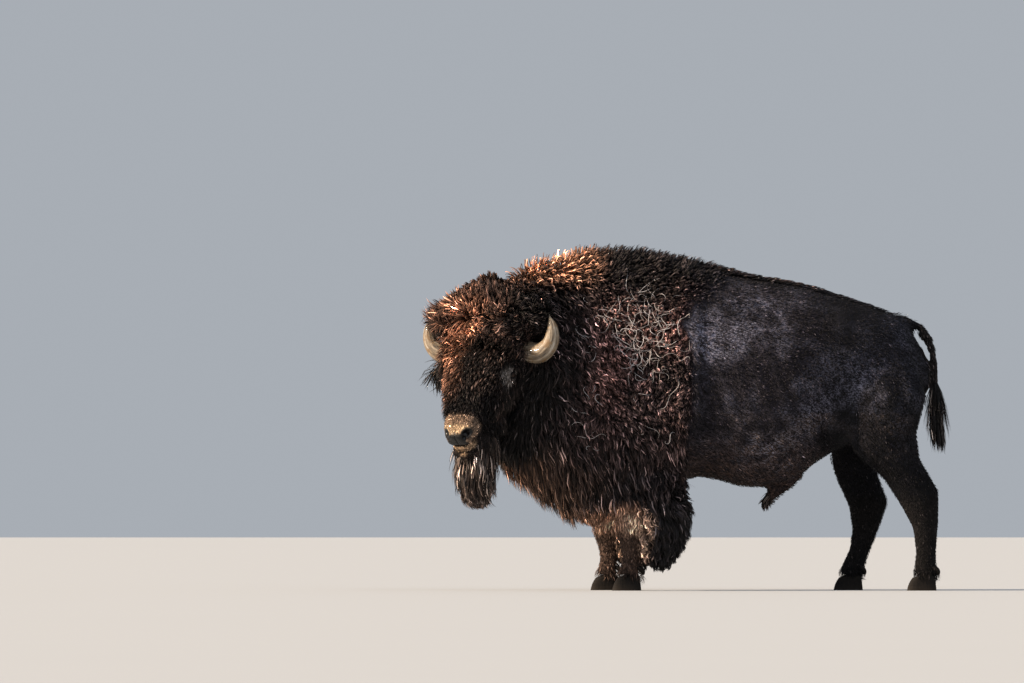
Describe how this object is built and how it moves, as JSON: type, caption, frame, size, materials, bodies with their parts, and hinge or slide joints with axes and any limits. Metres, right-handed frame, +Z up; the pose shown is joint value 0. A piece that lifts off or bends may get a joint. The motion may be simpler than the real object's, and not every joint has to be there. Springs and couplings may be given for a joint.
{
  "type": "american bison",
  "caption": "Standing American bison bull with a woolly cape, beard, curved horns and its head turned to its left, life-size still model",
  "frame": {"origin": "under the middle of the whole model's bounding box, at hoof level", "axes": "+Z up, the head end points towards -X and the left side towards -Y"},
  "size_m": [2.6618, 1.0208, 1.7488],
  "materials": {
    "cape_wool": "matted woolly hair",
    "dark_hair": "long dark hair",
    "short_coat": "short dense hair",
    "muzzle_skin": "moist bare skin",
    "horn": "worn satin",
    "hoof": "dusty satin",
    "eye": "wet gloss"
  },
  "bodies": {
    "root": {"barrel": "short_coat", "beard": "dark_hair", "crown": "cape_wool", "forequarters": "cape_wool", "head": "dark_hair", "hindquarters": "short_coat", "left_chap": "cape_wool", "left_ear": "dark_hair", "left_eye": "eye", "left_fore_dewclaw_inner": "hoof", "left_fore_dewclaw_outer": "hoof", "left_fore_hoof_inner": "hoof", "left_fore_hoof_outer": "hoof", "left_fore_shank": "dark_hair", "left_forearm": "dark_hair", "left_gaskin": "short_coat", "left_hind_dewclaw_inner": "hoof", "left_hind_dewclaw_outer": "hoof", "left_hind_hoof_inner": "hoof", "left_hind_hoof_outer": "hoof", "left_hind_shank": "short_coat", "left_horn": "horn", "left_thigh": "short_coat", "muzzle": "muzzle_skin", "neck": "cape_wool", "right_chap": "cape_wool", "right_ear": "dark_hair", "right_eye": "eye", "right_fore_dewclaw_inner": "hoof", "right_fore_dewclaw_outer": "hoof", "right_fore_hoof_inner": "hoof", "right_fore_hoof_outer": "hoof", "right_fore_shank": "dark_hair", "right_forearm": "dark_hair", "right_gaskin": "short_coat", "right_hind_dewclaw_inner": "hoof", "right_hind_dewclaw_outer": "hoof", "right_hind_hoof_inner": "hoof", "right_hind_hoof_outer": "hoof", "right_hind_shank": "short_coat", "right_horn": "horn", "right_thigh": "short_coat", "scrotum": "short_coat", "sheath": "short_coat", "tail": "short_coat", "tail_switch": "dark_hair"}
  },
  "joints": []
}
